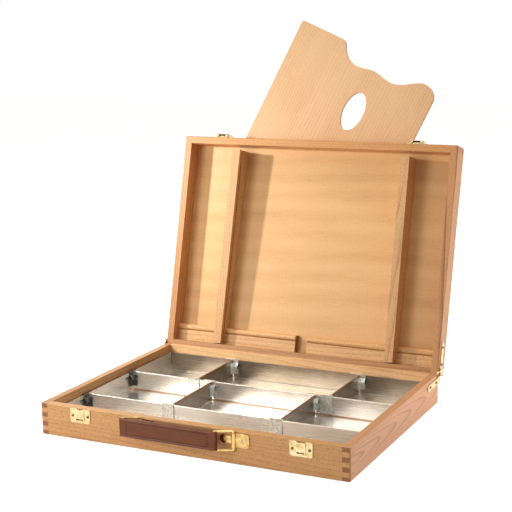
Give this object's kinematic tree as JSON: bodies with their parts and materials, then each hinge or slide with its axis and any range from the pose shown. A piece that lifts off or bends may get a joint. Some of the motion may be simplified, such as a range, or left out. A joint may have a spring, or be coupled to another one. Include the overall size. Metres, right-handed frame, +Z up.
{
  "type": "pochade box",
  "caption": "Wooden pochade box with an open hinged lid, a divided metal tray, sliding panel guides, a leather handle and a palette.",
  "frame": {"origin": "centre of the base's flat bottom face", "axes": "+Z up, -Y towards the handle side, +X to the right as seen from the handle side"},
  "size_m": [0.4586, 0.509, 0.5412],
  "materials": {
    "beech": "satin varnish",
    "plywood": "satin varnish",
    "palette_plywood": "satin varnish",
    "brass_plate": "polished",
    "brass_wire": "polished",
    "brass_screw": "dull",
    "aluminium_sheet": "mill",
    "galvanised_spring": "galvanised",
    "leather": "smooth"
  },
  "bodies": {
    "base": {"base_front_board": "beech", "base_back_board": "beech", "base_left_board": "beech", "base_right_board": "beech", "base_bottom_panel": "plywood", "catch_plate_left": "brass_plate", "catch_plate_right": "brass_plate", "catch_screws": "brass_screw", "hinge_base_leaf_left": "brass_plate", "hinge_base_leaf_right": "brass_plate", "hinge_pins": "brass_screw", "hinge_base_screws": "brass_screw", "handle_mount_left": "brass_plate", "handle_mount_right": "brass_plate", "handle_screws": "brass_screw"},
    "lid": {"lid_front_rail": "beech", "lid_back_rail": "beech", "lid_left_rail": "beech", "lid_right_rail": "beech", "lid_panel": "plywood", "ledge_left": "beech", "ledge_right": "beech", "hinge_lid_leaf_left": "brass_plate", "hinge_lid_leaf_right": "brass_plate", "hinge_lid_screws": "brass_screw", "latch_plate_left": "brass_plate", "latch_plate_right": "brass_plate", "latch_screws": "brass_screw", "latch_pins": "brass_screw"},
    "hasp_left": {"latch_hasp_left": "brass_plate"},
    "hasp_right": {"latch_hasp_right": "brass_plate"},
    "bar_left": {"guide_bar_left": "beech"},
    "bar_right": {"guide_bar_right": "beech"},
    "ring_left": {"handle_ring_left": "brass_wire"},
    "ring_right": {"handle_ring_right": "brass_wire"},
    "grip": {"handle_leather": "leather"},
    "tray": {"paint_tray": "aluminium_sheet"},
    "long_dividers": {"long_divider_front": "aluminium_sheet", "long_divider_middle": "aluminium_sheet", "wall_clips": "galvanised_spring"},
    "divider_middle_left": {"cross_divider_middle_left": "aluminium_sheet", "divider_clips_middle_left": "galvanised_spring"},
    "divider_middle_right": {"cross_divider_middle_right": "aluminium_sheet", "divider_clips_middle_right": "galvanised_spring"},
    "divider_back_left": {"cross_divider_back_left": "aluminium_sheet", "divider_clips_back_left": "galvanised_spring"},
    "divider_back_right": {"cross_divider_back_right": "aluminium_sheet", "divider_clips_back_right": "galvanised_spring"},
    "palette": {"palette": "palette_plywood"}
  },
  "joints": [
    {"name": "lid_hinge", "type": "hinge", "parent": "base", "child": "lid", "pos_m": [0, 0.163, 0.04475], "axis": [-1, 0, 0], "range_deg": [-104.4, 0]},
    {"name": "hasp_left_hinge", "type": "hinge", "parent": "lid", "child": "hasp_left", "pos_m": [-0.1606, 0.24855, 0.36731], "axis": [1, 0, 0], "range_deg": [0, 180]},
    {"name": "hasp_right_hinge", "type": "hinge", "parent": "lid", "child": "hasp_right", "pos_m": [0.1606, 0.24855, 0.36731], "axis": [1, 0, 0], "range_deg": [0, 180]},
    {"name": "bar_left_slide", "type": "slide", "parent": "lid", "child": "bar_left", "axis": [1, 0, 0], "range_m": [-0.065, 0.115]},
    {"name": "bar_right_slide", "type": "slide", "parent": "lid", "child": "bar_right", "axis": [1, 0, 0], "range_m": [-0.125, 0.056]},
    {"name": "ring_left_hinge", "type": "hinge", "parent": "base", "child": "ring_left", "pos_m": [-0.0655, -0.1696, 0.0334], "axis": [0, 0, 1], "range_deg": [-5, 130]},
    {"name": "ring_right_hinge", "type": "hinge", "parent": "base", "child": "ring_right", "pos_m": [0.0689, -0.1696, 0.0334], "axis": [0, 0, 1], "range_deg": [-5, 130]},
    {"name": "grip_hinge", "type": "hinge", "parent": "ring_left", "child": "grip", "pos_m": [-0.08725, -0.17974, 0.0334], "axis": [0, 0, 1], "range_deg": [-130, 5]},
    {"name": "tray_lift", "type": "slide", "parent": "base", "child": "tray", "axis": [0, 0, 1], "range_m": [0, 0.06]},
    {"name": "long_dividers_lift", "type": "slide", "parent": "tray", "child": "long_dividers", "axis": [0, 0, 1], "range_m": [0, 0.04]},
    {"name": "divider_middle_left_lift", "type": "slide", "parent": "long_dividers", "child": "divider_middle_left", "axis": [0, 0, 1], "range_m": [0, 0.04]},
    {"name": "divider_middle_right_lift", "type": "slide", "parent": "long_dividers", "child": "divider_middle_right", "axis": [0, 0, 1], "range_m": [0, 0.04]},
    {"name": "divider_back_left_lift", "type": "slide", "parent": "long_dividers", "child": "divider_back_left", "axis": [0, 0, 1], "range_m": [0, 0.04]},
    {"name": "divider_back_right_lift", "type": "slide", "parent": "long_dividers", "child": "divider_back_right", "axis": [0, 0, 1], "range_m": [0, 0.04]},
    {"name": "palette_draw", "type": "slide", "parent": "lid", "child": "palette", "axis": [0, 0.2487, 0.9686], "range_m": [0, 0.35]}
  ],
  "couplings": [
    {"joint": "ring_right_hinge", "follows": "ring_left_hinge", "ratio": 1},
    {"joint": "grip_hinge", "follows": "ring_left_hinge", "ratio": -1}
  ]
}
